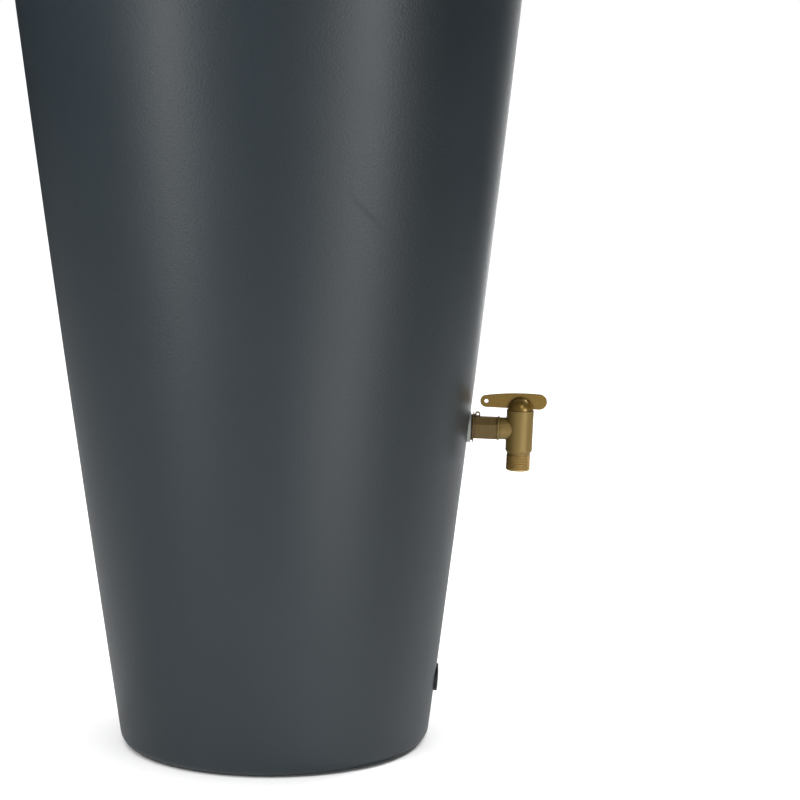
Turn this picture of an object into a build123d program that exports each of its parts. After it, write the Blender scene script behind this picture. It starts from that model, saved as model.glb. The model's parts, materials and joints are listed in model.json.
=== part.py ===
from build123d import *
import math
import os

# Slim tapered rain barrel: one moulded shell with a lift-off lid, a lift-out leaf strainer in the
# lid, a quarter-turn lever tap and a blanked lower port, both on the +X side.
# Millimetres, +Z up. The origin is the centre of the foot ring, on the ground.

# ---- shell ----
SHELL_HEIGHT = 1050.0
FOOT_RADIUS = 169.6          # outer wall carried down to the ground, before the foot rounding
MIDDLE_RADIUS = 236.8        # outer wall at half the shell's height
TOP_RADIUS = 296.8           # outer wall at the rim
WALL = 4.0
FOOT_ROUNDING = 14.0
FOOT_RING_WIDTH = 30.0       # band that the barrel stands on
FOOT_RECESS = 8.0            # how far the floor stands above the ground inside that band
FOOT_RECESS_SLOPE = 10.0

# ---- rolled rim ----
RIM_OVERHANG = 13.0
RIM_THICKNESS = 4.0
RIM_DROP = 20.0              # height of the turned-down lip
RIM_ROUNDING = 3.0

# ---- lid ----
LID_GAP = 0.3                # between the rim's top and the lid's underside
LID_SIDE_GAP = 0.8           # between the rim's lip and the lid's skirt
LID_WALL = 3.2
LID_SKIRT_DROP = 24.0
LID_RISE = 14.0              # how far the lid's deck climbs from its edge to the strainer seat
LID_SHOULDER_WIDTH = 22.0    # flat band over the rim
LID_STEP = 5.0               # step up from that band to the deck
LID_EDGE_ROUNDING = 2.9
GRIP_TAB_WIDTH = 80.0
GRIP_TAB_REACH = 14.0
GRIP_TAB_ROOT = 12.0         # how far the tab's outline runs inwards, before the skirt trims it
GRIP_TAB_CORNER = 6.0
GRIP_TAB_THICKNESS = 4.0
LID_RIB_COUNT = 12
LID_RIB_WIDTH = 3.0
LID_RIB_END_GAP = 4.0        # from a rib's outer end to the step
LID_RIB_DEEP = 12.0          # depth under the strainer seat
LID_RIB_SHALLOW = 4.0        # depth at the outer end

# ---- leaf strainer in the middle of the lid ----
STRAINER_FLANGE_RADIUS = 92.0
STRAINER_TOP_RADIUS = 80.0
STRAINER_FLOOR_RADIUS = 68.0
STRAINER_DEPTH = 62.0
STRAINER_WALL = 2.6
STRAINER_FLANGE = 3.0
STRAINER_SIDE_GAP = 1.0
SIDE_SLOT_COUNT = 36
SIDE_SLOT_WIDTH = 4.0
SIDE_SLOT_HEIGHT = 38.4
SIDE_SLOT_MIDDLE = 27.9      # height of a slot's middle above the basket's underside
SIDE_SLOT_CUT = 24.0         # radial length of the cutter that makes a slot
FLOOR_HOLE_RADIUS = 56.0
FLOOR_SPOKE_COUNT = 6
FLOOR_SPOKE_WIDTH = 5.0
FLOOR_HUB_RADIUS = 14.0
SCREEN_THICKNESS = 0.8
SCREEN_GAP = 0.3

# ---- pipe thread shared by the two ports and the outlet (three-quarter inch) ----
THREAD_CREST_RADIUS = 13.2
THREAD_ROOT_RADIUS = 12.1
THREAD_PITCH = 1.814
THREAD_LEAD_IN = 0.4         # taper from the neck to the first crest
FIRST_GROOVE = 0.75          # first groove below the thread's top, in pitches
GROOVE_HALF_WIDTH = 0.35     # in pitches

# ---- ports in the wall ----
TAP_HEIGHT = 350.0
TAP_DROOP = 2.2              # degrees that the tap hangs below the horizontal
PLUG_HEIGHT = 68.6
PLUG_DROOP = 3.5
PORT_HOLE_RADIUS = 13.5
PORT_BOSS_RADIUS = 25.0
PORT_BOSS_DEPTH = 8.0        # inner face of the boss, behind the wall's outer surface
TAP_SEAT_DEPTH = 1.9         # floor of the spot face behind the wall's outer surface
TAP_SEAT_RADIUS = 17.1
PLUG_SEAT_DEPTH = 1.6
PLUG_SEAT_RADIUS = 15.7
SEAT_CUT_REACH = 12.0

# ---- back nuts and inner washers ----
INNER_WASHER_RADIUS = 19.0
INNER_WASHER_THICKNESS = 2.0
NUT_ACROSS_FLATS = 36.0
NUT_THICKNESS = 8.0
THREAD_PLAY = 0.05

# ---- tap seal and inlet fitting, measured outwards along the tap's axis ----
TAP_SEAL_RADIUS = 16.6
TAP_SEAL_FACE = 2.3          # outer face of the seal
SHOULDER_RADIUS = 14.2
FLANGE_BACK = 4.2
FLANGE_FACE = 5.5
FLANGE_RADIUS = 16.3
SLEEVE_END = 31.4
SLEEVE_ACROSS_FLATS = 23.6
SLEEVE_SIDES = 8
SHANK_END = -22.0
SHANK_BORE_RADIUS = 7.0
SOCKET_BOTTOM = 13.0
SOCKET_RADIUS = 9.0
LUG_REACH = 9.3
LUG_RISE = 14.6
LUG_RADIUS = 2.9
LUG_THICKNESS = 4.0
LUG_HOLE_RADIUS = 1.5
LUG_ROOT = 0.5               # how far the lug's web runs into the flange

# ---- tap body ----
COLLAR_START = SLEEVE_END
COLLAR_END = 33.4
COLLAR_RADIUS = 13.2
PIPE_RADIUS = 12.05
PIPE_FILLET = 0.9            # where the side pipe meets the upright body
SPIGOT_RADIUS = 8.9
SPIGOT_START = 14.0
SPIGOT_GROOVE = 20.0
SPIGOT_BORE_RADIUS = 6.0
SPIGOT_RING_PLAY = 0.02      # between the ring's outside and the socket
BODY_REACH = 55.6            # from the wall to the body's own axis
BODY_TOP = 21.3              # heights are measured from the tap's axis
BODY_TOP_RADIUS = 14.85
BODY_TOP_CHAMFER = 0.5
BODY_FOOT_RADIUS = 14.65
BODY_FOOT = -23.1
NECK_TOP = -26.4
NECK_RADIUS = 12.7
THREAD_TOP = -28.4
OUTLET_MOUTH = -45.4
MOUTH_CHAMFER = 1.2
BODY_BORE_RADIUS = 9.55
BODY_WEB = 15.2              # underside of the web that the stem passes through
STEM_HOLE_RADIUS = 6.08

# ---- valve plug, its rings, the lever and its screw ----
PLUG_RADIUS = 9.5
VALVE_TOP = 15.0
VALVE_FOOT = -18.0
VALVE_HOLLOW_RADIUS = 6.3
VALVE_HOLLOW_TOP = 7.5
VALVE_PORT_RADIUS = 6.0
STEM_RADIUS = 6.0
STEM_SHOULDER = 21.5
STEM_SQUARE = 8.0
STEM_TOP = 29.0
STEM_TIP_GAP = 0.2
RING_SECTION = 0.9           # radius of an O-ring's section
RING_GROOVE_DEPTH = 1.75
RING_GROOVE_HALF_WIDTH = 1.0
UPPER_RING = 11.2
LOWER_RING = -12.5
LEVER_GAP = 0.3
DOME_RADIUS = 13.8
DOME_SOCKET = 8.2
SCREW_HEAD_RADIUS = 3.5
SCREW_HEAD_HEIGHT = 2.2
SCREW_RADIUS = 1.75
SCREW_HOLE_PLAY = 0.15       # in the plug; in the lever it cuts its own thread
SCREW_TOP = 31.0
SCREW_TIP_GAP = 0.3
SCREW_SLOT_LENGTH = 4.2
SCREW_SLOT_WIDTH = 0.9
SCREW_SLOT_DEPTH = 1.2
BLADE_THICKNESS = 2.6
BLADE_EDGE_ROUNDING = 0.7
LONG_ARM = 37.5              # from the stem to the centre of the eye's round end
LONG_END_RADIUS = 6.65
LONG_END_RISE = 29.6
SHORT_ARM = 20.25
SHORT_END_RADIUS = 8.45
SHORT_END_RISE = 30.75
BLADE_ARCH_RADIUS = 280.0    # arch of the blade's top edge
EYE_RADIUS = 2.2

# ---- blanking plug ----
BLANK_HEAD_RADIUS = 15.2
BLANK_HEAD_EDGE = 2.75
BLANK_CROWN = 0.75
BLANK_EDGE_ROUNDING = 0.8
BLANK_SEAL_THICKNESS = 1.2
BLANK_SEAL_RADIUS = 15.0
BLANK_SHANK_END = -22.0
BLANK_BORE_RADIUS = 9.0
BLANK_BORE_DEPTH = 18.0

# ---- sizes that follow from the ones above ----
LIP_RADIUS = TOP_RADIUS + RIM_OVERHANG
LID_UNDERSIDE = SHELL_HEIGHT + LID_GAP
LID_SKIRT_FOOT = LID_UNDERSIDE - LID_SKIRT_DROP
LID_RADIUS = LIP_RADIUS + LID_SIDE_GAP + LID_WALL
LID_BAND_TOP = LID_UNDERSIDE + LID_WALL
DECK_RADIUS = LID_RADIUS - LID_SHOULDER_WIDTH
DECK_EDGE = LID_BAND_TOP + LID_STEP
DECK_CENTRE = DECK_EDGE + LID_RISE
STRAINER_SEAT = DECK_CENTRE - STRAINER_FLANGE
STRAINER_SEAT_RADIUS = STRAINER_FLANGE_RADIUS + STRAINER_SIDE_GAP
STRAINER_HOLE_RADIUS = STRAINER_TOP_RADIUS + STRAINER_SIDE_GAP
COLLAR_OUTER_RADIUS = STRAINER_SEAT_RADIUS + LID_WALL
STRAINER_REST = STRAINER_SEAT + LID_GAP     # underside of the strainer's flange
STRAINER_FOOT = STRAINER_REST - STRAINER_DEPTH
SHANK_HOLE_RADIUS = THREAD_CREST_RADIUS + THREAD_PLAY

SAME = 0.01                  # two places closer than this are the same place
CUT = 1.0                    # how far a cutter runs past the face that it cuts

os.makedirs("parts", exist_ok=True)


def wall_radius(height):
    """Outer radius of the wall's arc at a height above the ground."""
    return wall_arc_radius_at(height, 0.0)


def wall_arc_radius_at(height, inset):
    """Radius of the arc through the three driving radii, moved inwards by inset."""
    low = (FOOT_RADIUS - inset, 0.0)
    middle = (MIDDLE_RADIUS - inset, SHELL_HEIGHT / 2)
    high = (TOP_RADIUS - inset, SHELL_HEIGHT)
    centre_r, centre_z, arc_radius = circle_through(low, middle, high)
    side = 1.0 if middle[0] > centre_r else -1.0
    return centre_r + side * math.sqrt(arc_radius**2 - (height - centre_z) ** 2)


def circle_through(a, b, c):
    """Centre and radius of the circle through three points of a plane."""
    d = 2 * (a[0] * (b[1] - c[1]) + b[0] * (c[1] - a[1]) + c[0] * (a[1] - b[1]))
    a2 = a[0] ** 2 + a[1] ** 2
    b2 = b[0] ** 2 + b[1] ** 2
    c2 = c[0] ** 2 + c[1] ** 2
    x = (a2 * (b[1] - c[1]) + b2 * (c[1] - a[1]) + c2 * (a[1] - b[1])) / d
    y = (a2 * (c[0] - b[0]) + b2 * (a[0] - c[0]) + c2 * (b[0] - a[0])) / d
    return x, y, math.hypot(a[0] - x, a[1] - y)


def port_location(height, droop):
    """Frame of a port: x out along its axis, z up across it, origin on the wall."""
    tilt = math.radians(droop)
    plane = Plane(
        origin=(wall_radius(height), 0, height),
        x_dir=(math.cos(tilt), 0, -math.sin(tilt)),
        z_dir=(math.sin(tilt), 0, math.cos(tilt)),
    )
    return plane.location


def rod(radius, start, end):
    """Cylinder along x from start to end."""
    return Location((start, 0, 0), (0, 90, 0)) * Cylinder(
        radius, end - start, align=(Align.CENTER, Align.CENTER, Align.MIN)
    )


def post(radius, bottom, top, reach=0.0):
    """Cylinder along z from bottom to top, on an axis that stands at x = reach."""
    return Pos(reach, 0, bottom) * Cylinder(
        radius, top - bottom, align=(Align.CENTER, Align.CENTER, Align.MIN)
    )


def turned(points):
    """Solid of revolution about z of a straight-sided outline of (radius, height) points."""
    outline = make_face(Polyline(*[(r, 0, z) for r, z in points], close=True))
    return revolve(outline, Axis.Z)


def prism_along_x(sides, across_flats, start, end):
    """Regular prism along x with a flat on top."""
    corner_radius = across_flats / 2 / math.cos(math.pi / sides)
    outline = RegularPolygon(corner_radius, sides, rotation=180 / sides)
    return Location((start, 0, 0), (0, 90, 0)) * extrude(outline, end - start)


def write(name, shape):
    export_step(shape, f"parts/{name}.step")


# ---- shell, lid and strainer ----
def wall_profile(inset, bottom):
    """Half section of the space inside the wall's arc moved inwards by inset, above bottom."""
    low = (wall_arc_radius_at(bottom, inset), 0, bottom)
    middle = (wall_arc_radius_at(SHELL_HEIGHT / 2, inset), 0, SHELL_HEIGHT / 2)
    high = (wall_arc_radius_at(SHELL_HEIGHT, inset), 0, SHELL_HEIGHT)
    edges = [
        Line((0, 0, bottom), low),
        ThreePointArc(low, middle, high),
        Line(high, (0, 0, SHELL_HEIGHT)),
        Line((0, 0, SHELL_HEIGHT), (0, 0, bottom)),
    ]
    return make_face(Wire(edges))


def corner_rounded(profile, radius, rounding):
    """Profile with its corner nearest to that radius at the lowest level rounded."""
    corners = profile.vertices().sort_by(Axis.Z)
    lowest = [v for v in corners if abs(v.Z - corners[0].Z) < SAME]
    corner = min(lowest, key=lambda v: abs(v.X - radius))
    return profile.face().fillet_2d(rounding, [corner])


def make_shell():
    outside = corner_rounded(wall_profile(0, 0), FOOT_RADIUS, FOOT_ROUNDING)
    floor_top = FOOT_RECESS + WALL
    inner_foot = wall_arc_radius_at(floor_top, WALL)
    inside = corner_rounded(wall_profile(WALL, floor_top), inner_foot, FOOT_ROUNDING - WALL)
    solid_barrel = revolve(outside, Axis.Z)
    shell = solid_barrel - revolve(inside, Axis.Z)
    recess_radius = FOOT_RADIUS - FOOT_RING_WIDTH
    shell -= turned(
        [(0, 0), (recess_radius, 0), (recess_radius - FOOT_RECESS_SLOPE, FOOT_RECESS), (0, FOOT_RECESS)]
    )
    shell += make_rim()
    tap_port = port_location(TAP_HEIGHT, TAP_DROOP)
    low_port = port_location(PLUG_HEIGHT, PLUG_DROOP)
    for port, seat_radius, seat_depth in (
        (tap_port, TAP_SEAT_RADIUS, TAP_SEAT_DEPTH),
        (low_port, PLUG_SEAT_RADIUS, PLUG_SEAT_DEPTH),
    ):
        shell += solid_barrel & port * rod(PORT_BOSS_RADIUS, -PORT_BOSS_DEPTH, SEAT_CUT_REACH)
        shell -= port * rod(PORT_HOLE_RADIUS, -PORT_BOSS_DEPTH - CUT, SEAT_CUT_REACH)
        shell -= port * rod(seat_radius, -seat_depth, SEAT_CUT_REACH)
    return shell


def make_rim():
    """Flange around the mouth with its outer edge turned down."""
    inner = wall_radius(SHELL_HEIGHT - RIM_THICKNESS) - WALL / 2
    top = SHELL_HEIGHT
    corners = [
        (inner, 0, top),
        (LIP_RADIUS, 0, top),
        (LIP_RADIUS, 0, top - RIM_DROP),
        (LIP_RADIUS - RIM_THICKNESS, 0, top - RIM_DROP),
        (LIP_RADIUS - RIM_THICKNESS, 0, top - RIM_THICKNESS),
        (inner, 0, top - RIM_THICKNESS),
    ]
    outline = make_face(Polyline(*corners, close=True))
    shoulder = outline.vertices().sort_by(Axis.Z)[-2:].sort_by(Axis.X)[-1]
    outline = outline.face().fillet_2d(RIM_ROUNDING, [shoulder])
    return revolve(outline, Axis.Z)


def make_lid():
    """Stepped deck that climbs to a sunk seat for the strainer, with a skirt round the rim."""
    outline = [
        (STRAINER_HOLE_RADIUS, STRAINER_SEAT - LID_WALL),
        (STRAINER_HOLE_RADIUS, STRAINER_SEAT),
        (STRAINER_SEAT_RADIUS, STRAINER_SEAT),
        (STRAINER_SEAT_RADIUS, DECK_CENTRE + LID_WALL / 2),
        (COLLAR_OUTER_RADIUS, DECK_CENTRE + LID_WALL / 2),
        (COLLAR_OUTER_RADIUS + LID_WALL / 2, DECK_CENTRE),
        (DECK_RADIUS, DECK_EDGE),
        (DECK_RADIUS + LID_STEP, LID_BAND_TOP),
        (LID_RADIUS, LID_BAND_TOP),
        (LID_RADIUS, LID_SKIRT_FOOT),
        (LID_RADIUS - LID_WALL, LID_SKIRT_FOOT),
        (LID_RADIUS - LID_WALL, LID_UNDERSIDE),
        (DECK_RADIUS + LID_STEP - LID_WALL, LID_UNDERSIDE),
        (DECK_RADIUS - LID_WALL / 2, DECK_EDGE - LID_WALL),
        (COLLAR_OUTER_RADIUS, STRAINER_SEAT - LID_WALL),
    ]
    face = make_face(Polyline(*[(r, 0, z) for r, z in outline], close=True))
    outer_corner = min(
        face.vertices(), key=lambda v: abs(v.X - LID_RADIUS) + abs(v.Z - LID_BAND_TOP)
    )
    face = face.face().fillet_2d(LID_EDGE_ROUNDING, [outer_corner])
    lid = revolve(face, Axis.Z)
    lid += make_lid_ribs()
    for side in (1, -1):
        lid += make_grip_tab(side)
    return lid


def make_lid_ribs():
    """Stiffening ribs under the deck, from the strainer seat out to the step."""
    inner = COLLAR_OUTER_RADIUS - CUT
    outer = DECK_RADIUS - LID_RIB_END_GAP
    under_seat = STRAINER_SEAT - LID_WALL
    under_step = DECK_EDGE - LID_WALL
    rib_face = make_face(
        Polyline(
            (inner, 0, under_seat + CUT),
            (outer, 0, under_step + CUT),
            (outer, 0, under_step - LID_RIB_SHALLOW),
            (inner, 0, under_seat - LID_RIB_DEEP),
            close=True,
        )
    )
    rib = extrude(rib_face, LID_RIB_WIDTH / 2, both=True)
    ribs = Part()
    for number in range(LID_RIB_COUNT):
        ribs += Rot(0, 0, number * 360 / LID_RIB_COUNT) * rib
    return ribs


def make_grip_tab(side):
    """Finger tab that stands out from the skirt's foot on the +Y or -Y side."""
    middle = LID_RADIUS + (GRIP_TAB_REACH - GRIP_TAB_ROOT) / 2
    outline = Pos(0, side * middle, LID_SKIRT_FOOT) * RectangleRounded(
        GRIP_TAB_WIDTH, GRIP_TAB_REACH + GRIP_TAB_ROOT, GRIP_TAB_CORNER
    )
    tab = extrude(outline, GRIP_TAB_THICKNESS)
    inside_skirt = post(
        LID_RADIUS - LID_WALL / 2,
        LID_SKIRT_FOOT - CUT,
        LID_SKIRT_FOOT + GRIP_TAB_THICKNESS + CUT,
    )
    return tab - inside_skirt


def make_strainer():
    """Tapered basket with a flange on the lid's seat, slots in its side and an open floor."""
    top = STRAINER_REST + STRAINER_FLANGE
    floor_top = STRAINER_FOOT + STRAINER_WALL
    basket = turned(
        [
            (0, STRAINER_FOOT),
            (STRAINER_FLOOR_RADIUS, STRAINER_FOOT),
            (STRAINER_TOP_RADIUS, STRAINER_REST),
            (STRAINER_FLANGE_RADIUS, STRAINER_REST),
            (STRAINER_FLANGE_RADIUS, top),
            (STRAINER_TOP_RADIUS - STRAINER_WALL, top),
            (STRAINER_FLOOR_RADIUS - STRAINER_WALL, floor_top),
            (0, floor_top),
        ]
    )
    middle_radius = (STRAINER_TOP_RADIUS + STRAINER_FLOOR_RADIUS) / 2
    slot = Pos(middle_radius, 0, STRAINER_FOOT + SIDE_SLOT_MIDDLE) * Box(
        SIDE_SLOT_CUT, SIDE_SLOT_WIDTH, SIDE_SLOT_HEIGHT
    )
    for number in range(SIDE_SLOT_COUNT):
        basket -= Rot(0, 0, number * 360 / SIDE_SLOT_COUNT) * slot
    floor_opening = Circle(FLOOR_HOLE_RADIUS) - Circle(FLOOR_HUB_RADIUS)
    for number in range(FLOOR_SPOKE_COUNT // 2):
        floor_opening -= Rot(0, 0, number * 360 / FLOOR_SPOKE_COUNT) * Rectangle(
            3 * FLOOR_HOLE_RADIUS, FLOOR_SPOKE_WIDTH
        )
    basket -= Pos(0, 0, STRAINER_FOOT - CUT) * extrude(floor_opening, STRAINER_WALL + 2 * CUT)
    return basket


def make_screen():
    """Woven screen that lies on the basket's floor."""
    floor_top = STRAINER_FOOT + STRAINER_WALL
    radius = STRAINER_FLOOR_RADIUS - STRAINER_WALL - SCREEN_GAP
    return post(radius, floor_top, floor_top + SCREEN_THICKNESS)


# ---- what clamps a fitting to the wall, the same at both ports ----
def make_inner_washer():
    start = -PORT_BOSS_DEPTH - INNER_WASHER_THICKNESS
    return rod(INNER_WASHER_RADIUS, start, -PORT_BOSS_DEPTH) - rod(
        SHANK_HOLE_RADIUS, start - CUT, 0
    )


def make_back_nut():
    outer_face = -PORT_BOSS_DEPTH - INNER_WASHER_THICKNESS
    inner_face = outer_face - NUT_THICKNESS
    nut = prism_along_x(6, NUT_ACROSS_FLATS, inner_face, outer_face)
    return nut - rod(SHANK_HOLE_RADIUS, inner_face - CUT, 0)


# ---- tap ----
def make_tap_seal():
    return rod(TAP_SEAL_RADIUS, -TAP_SEAT_DEPTH, TAP_SEAL_FACE) - rod(
        SHANK_HOLE_RADIUS, -TAP_SEAT_DEPTH - CUT, TAP_SEAL_FACE + CUT
    )


def make_inlet_fitting():
    """Threaded shank, flange, eight-sided sleeve and the sealing lug, in one moulding."""
    fitting = rod(THREAD_CREST_RADIUS, SHANK_END, TAP_SEAL_FACE)
    fitting += rod(SHOULDER_RADIUS, TAP_SEAL_FACE, FLANGE_BACK)
    fitting += rod(FLANGE_RADIUS, FLANGE_BACK, FLANGE_FACE)
    fitting += prism_along_x(SLEEVE_SIDES, SLEEVE_ACROSS_FLATS, FLANGE_FACE, SLEEVE_END)
    fitting += make_lug()
    fitting -= rod(SHANK_BORE_RADIUS, SHANK_END - CUT, SLEEVE_END + CUT)
    fitting -= rod(SOCKET_RADIUS, SOCKET_BOTTOM, SLEEVE_END + CUT)
    return fitting


def make_lug():
    """Round ear on top of the sleeve, against the flange, with its hole across the tap."""
    foot = SLEEVE_ACROSS_FLATS / 2 - CUT
    ear = Location((LUG_REACH, 0, LUG_RISE), (90, 0, 0)) * Cylinder(LUG_RADIUS, LUG_THICKNESS)
    web_start = FLANGE_FACE - LUG_ROOT
    web_length = LUG_REACH + LUG_RADIUS - web_start
    web = Pos(web_start, 0, foot) * Box(
        web_length, LUG_THICKNESS, LUG_RISE - foot, align=(Align.MIN, Align.CENTER, Align.MIN)
    )
    hole = Location((LUG_REACH, 0, LUG_RISE), (90, 0, 0)) * Cylinder(
        LUG_HOLE_RADIUS, LUG_THICKNESS + 2 * CUT
    )
    return ear + web - hole


def make_spigot_ring():
    return Location((SPIGOT_GROOVE, 0, 0), (0, 90, 0)) * Torus(
        SOCKET_RADIUS - SPIGOT_RING_PLAY - RING_SECTION, RING_SECTION
    )


def body_outline():
    """Half section of the body's outside, with the outlet's thread as rings."""
    points = [
        (0, BODY_TOP),
        (BODY_TOP_RADIUS - BODY_TOP_CHAMFER, BODY_TOP),
        (BODY_TOP_RADIUS, BODY_TOP - BODY_TOP_CHAMFER),
        (BODY_FOOT_RADIUS, BODY_FOOT),
        (NECK_RADIUS, NECK_TOP),
        (NECK_RADIUS, THREAD_TOP + THREAD_LEAD_IN),
        (THREAD_CREST_RADIUS, THREAD_TOP),
    ]
    turns = int((THREAD_TOP - OUTLET_MOUTH - MOUTH_CHAMFER) / THREAD_PITCH)
    for turn in range(turns):
        groove = THREAD_TOP - (turn + FIRST_GROOVE) * THREAD_PITCH
        points += [
            (THREAD_CREST_RADIUS, groove + GROOVE_HALF_WIDTH * THREAD_PITCH),
            (THREAD_ROOT_RADIUS, groove),
            (THREAD_CREST_RADIUS, groove - GROOVE_HALF_WIDTH * THREAD_PITCH),
        ]
    points += [
        (THREAD_CREST_RADIUS, OUTLET_MOUTH + MOUTH_CHAMFER),
        (THREAD_CREST_RADIUS - MOUTH_CHAMFER, OUTLET_MOUTH),
        (0, OUTLET_MOUTH),
    ]
    return points


def make_tap_body():
    """Elbow: spigot, collar and pipe along x, upright body with the outlet below."""
    body = Pos(BODY_REACH, 0, 0) * turned(body_outline())
    body += rod(PIPE_RADIUS, COLLAR_END, BODY_REACH)
    joint_line = [
        e
        for e in body.edges()
        if e.geom_type not in (GeomType.CIRCLE, GeomType.LINE)
        and abs(e.center().Z) < PIPE_RADIUS
        and e.center().X < BODY_REACH
    ]
    body = fillet(joint_line, PIPE_FILLET)
    body += rod(COLLAR_RADIUS, COLLAR_START, COLLAR_END)
    body += rod(SPIGOT_RADIUS, SPIGOT_START, COLLAR_START)
    groove_start = SPIGOT_GROOVE - RING_GROOVE_HALF_WIDTH
    groove_end = SPIGOT_GROOVE + RING_GROOVE_HALF_WIDTH
    groove_floor = SOCKET_RADIUS - 2 * (RING_SECTION + SPIGOT_RING_PLAY)
    groove = rod(SPIGOT_RADIUS + CUT, groove_start, groove_end)
    groove -= rod(groove_floor, groove_start - CUT, groove_end + CUT)
    body -= groove
    body -= rod(SPIGOT_BORE_RADIUS, SPIGOT_START - CUT, BODY_REACH)
    body -= post(BODY_BORE_RADIUS, OUTLET_MOUTH - CUT, BODY_WEB, BODY_REACH)
    body -= post(STEM_HOLE_RADIUS, BODY_WEB - CUT, BODY_TOP + CUT, BODY_REACH)
    return body


def make_valve_plug():
    """Hollow plug, open below, with a side port that the lever turns to face the inlet."""
    plug = post(PLUG_RADIUS, VALVE_FOOT, VALVE_TOP)
    plug += post(STEM_RADIUS, VALVE_TOP, STEM_SHOULDER)
    plug += Pos(0, 0, STEM_SHOULDER) * Box(
        STEM_SQUARE,
        STEM_SQUARE,
        STEM_TOP - STEM_SHOULDER,
        align=(Align.CENTER, Align.CENTER, Align.MIN),
    )
    plug -= post(VALVE_HOLLOW_RADIUS, VALVE_FOOT - CUT, VALVE_HOLLOW_TOP)
    plug -= Rot(-90, 0, 0) * Cylinder(
        VALVE_PORT_RADIUS, PLUG_RADIUS + CUT, align=(Align.CENTER, Align.CENTER, Align.MIN)
    )
    for ring in (UPPER_RING, LOWER_RING):
        groove_foot = ring - RING_GROOVE_HALF_WIDTH
        groove_top = ring + RING_GROOVE_HALF_WIDTH
        groove = post(PLUG_RADIUS + CUT, groove_foot, groove_top)
        groove -= post(PLUG_RADIUS - RING_GROOVE_DEPTH, groove_foot - CUT, groove_top + CUT)
        plug -= groove
    plug -= post(SCREW_RADIUS + SCREW_HOLE_PLAY, VALVE_HOLLOW_TOP - CUT, STEM_TOP + CUT)
    return Pos(BODY_REACH, 0, 0) * plug


def make_valve_ring(height):
    return Pos(BODY_REACH, 0, height) * Torus(
        PLUG_RADIUS - RING_GROOVE_DEPTH + RING_SECTION, RING_SECTION
    )


def blade_outline():
    """Lever blade seen from the side: two round ends, an arched top and a straight underside."""
    long_end = Vector(-LONG_ARM, LONG_END_RISE)
    short_end = Vector(SHORT_ARM, SHORT_END_RISE)
    along = short_end - long_end
    spread = along.length
    along = along.normalized()
    upward = Vector(-along.Y, along.X)

    # the arch is a large circle that touches both round ends from outside
    to_long = BLADE_ARCH_RADIUS - LONG_END_RADIUS
    to_short = BLADE_ARCH_RADIUS - SHORT_END_RADIUS
    shift = (spread**2 + to_long**2 - to_short**2) / (2 * spread)
    arch_centre = long_end + along * shift - upward * math.sqrt(to_long**2 - shift**2)
    long_top = long_end + (long_end - arch_centre).normalized() * LONG_END_RADIUS
    short_top = short_end + (short_end - arch_centre).normalized() * SHORT_END_RADIUS
    crown = arch_centre + upward * BLADE_ARCH_RADIUS

    # the underside is the line that touches both round ends from below
    lean = (LONG_END_RADIUS - SHORT_END_RADIUS) / spread
    downward = along * lean - upward * math.sqrt(1 - lean**2)
    long_foot = long_end + downward * LONG_END_RADIUS
    short_foot = short_end + downward * SHORT_END_RADIUS

    edges = [
        ThreePointArc(long_foot, long_end - along * LONG_END_RADIUS, long_top),
        ThreePointArc(long_top, crown, short_top),
        ThreePointArc(short_top, short_end + along * SHORT_END_RADIUS, short_foot),
        Line(short_foot, long_foot),
    ]
    return make_face(Wire(edges))


def make_lever():
    """Dome over the stem with the thin blade through it, and the eye at the long end."""
    blade = extrude(Plane.XZ * blade_outline(), BLADE_THICKNESS / 2, both=True)
    rims = [e for e in blade.edges() if abs(abs(e.center().Y) - BLADE_THICKNESS / 2) < SAME]
    blade = fillet(rims, BLADE_EDGE_ROUNDING)
    dome_base = BODY_TOP + LEVER_GAP
    ball = Pos(0, 0, dome_base) * Sphere(DOME_RADIUS)
    dome = ball & post(DOME_RADIUS + CUT, dome_base, dome_base + DOME_RADIUS + CUT)
    lever = dome + blade
    socket_foot = dome_base - CUT
    lever -= Pos(0, 0, socket_foot) * Box(
        DOME_SOCKET,
        DOME_SOCKET,
        STEM_TOP + STEM_TIP_GAP - socket_foot,
        align=(Align.CENTER, Align.CENTER, Align.MIN),
    )
    lever -= post(SCREW_RADIUS + THREAD_PLAY, dome_base, SCREW_TOP + SCREW_TIP_GAP)
    eye = Location((-LONG_ARM, 0, LONG_END_RISE), (90, 0, 0)) * Cylinder(
        EYE_RADIUS, BLADE_THICKNESS + 2 * CUT
    )
    return Pos(BODY_REACH, 0, 0) * (lever - eye)


def make_lever_screw():
    """Self-tapping screw, driven up through the hollow plug into the lever."""
    head_foot = VALVE_HOLLOW_TOP - SCREW_HEAD_HEIGHT
    screw = post(SCREW_HEAD_RADIUS, head_foot, VALVE_HOLLOW_TOP)
    screw += post(SCREW_RADIUS, VALVE_HOLLOW_TOP, SCREW_TOP)
    slot = Pos(0, 0, head_foot) * Box(SCREW_SLOT_LENGTH, SCREW_SLOT_WIDTH, 2 * SCREW_SLOT_DEPTH)
    for angle in (0, 90):
        screw -= Rot(0, 0, angle) * slot
    return Pos(BODY_REACH, 0, 0) * screw


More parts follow.
